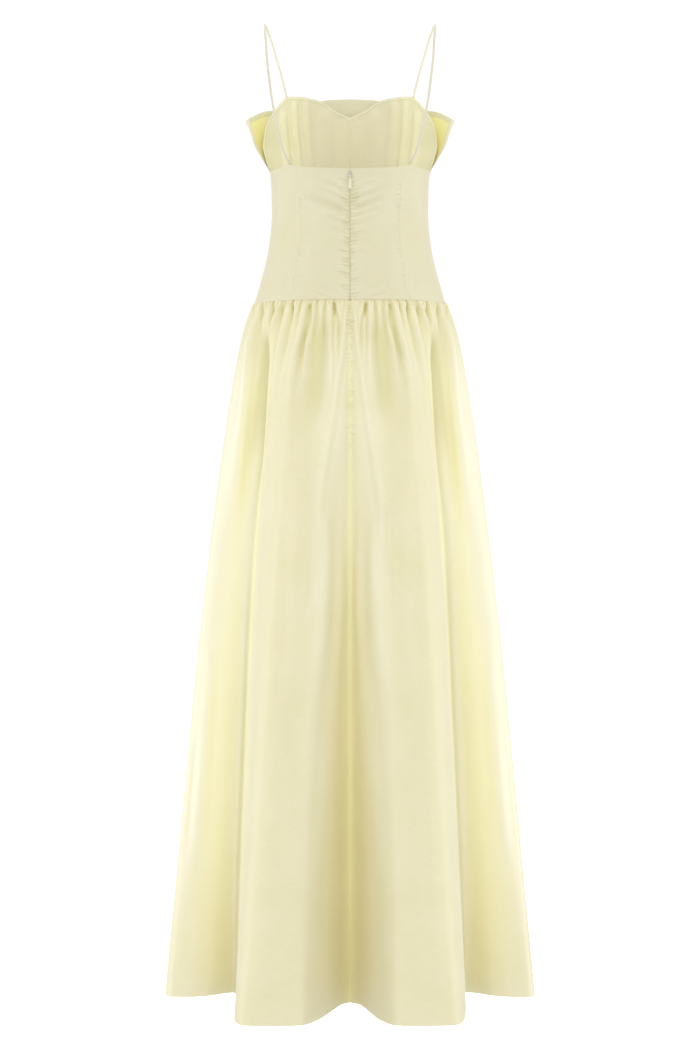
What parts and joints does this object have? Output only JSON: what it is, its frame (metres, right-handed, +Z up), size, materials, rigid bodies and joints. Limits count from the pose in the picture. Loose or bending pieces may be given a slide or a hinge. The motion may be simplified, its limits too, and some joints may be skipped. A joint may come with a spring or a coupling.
{
  "type": "maxi dress",
  "caption": "Long dress with thin straps, a fitted panelled bodice, a stand-away bust flap, a back zip and a gathered skirt.",
  "frame": {"origin": "midway between the tops of the two shoulder straps, where the wearer's shoulders hold the dress", "axes": "+Z up along the body, -Y out of the front, +X towards the wearer's left"},
  "size_m": [0.558, 0.51, 1.4576],
  "materials": {
    "shell": "smooth pale yellow taffeta",
    "skirt": "smooth pale yellow taffeta",
    "flap": "smooth pale yellow taffeta",
    "lining": "matt pale yellow lining",
    "strap": "rouleau of the shell's cloth",
    "zip_tape": "woven tape",
    "zip_metal": "nickelled",
    "pull_paint": "lacquered to match the cloth"
  },
  "bodies": {
    "dress": {"back_center_left": "shell", "back_center_right": "shell", "back_side_left": "shell", "back_side_right": "shell", "front_side_left": "shell", "front_side_right": "shell", "front_center_left": "shell", "front_center_right": "shell", "front_lining_left": "lining", "front_lining_right": "lining", "strap_left": "strap", "strap_right": "strap", "skirt_back_left": "skirt", "skirt_back_right": "skirt", "skirt_front": "skirt", "bust_flap": "flap", "zip_tape": "zip_tape", "zip_slider": "zip_metal"},
    "pull_tab": {"zip_pull": "pull_paint"}
  },
  "joints": [
    {"name": "pull_tab_swing", "type": "hinge", "parent": "dress", "child": "pull_tab", "pos_m": [0, 0.09163, -0.2382], "axis": [1, 0, 0], "range_deg": [0, 165]}
  ]
}
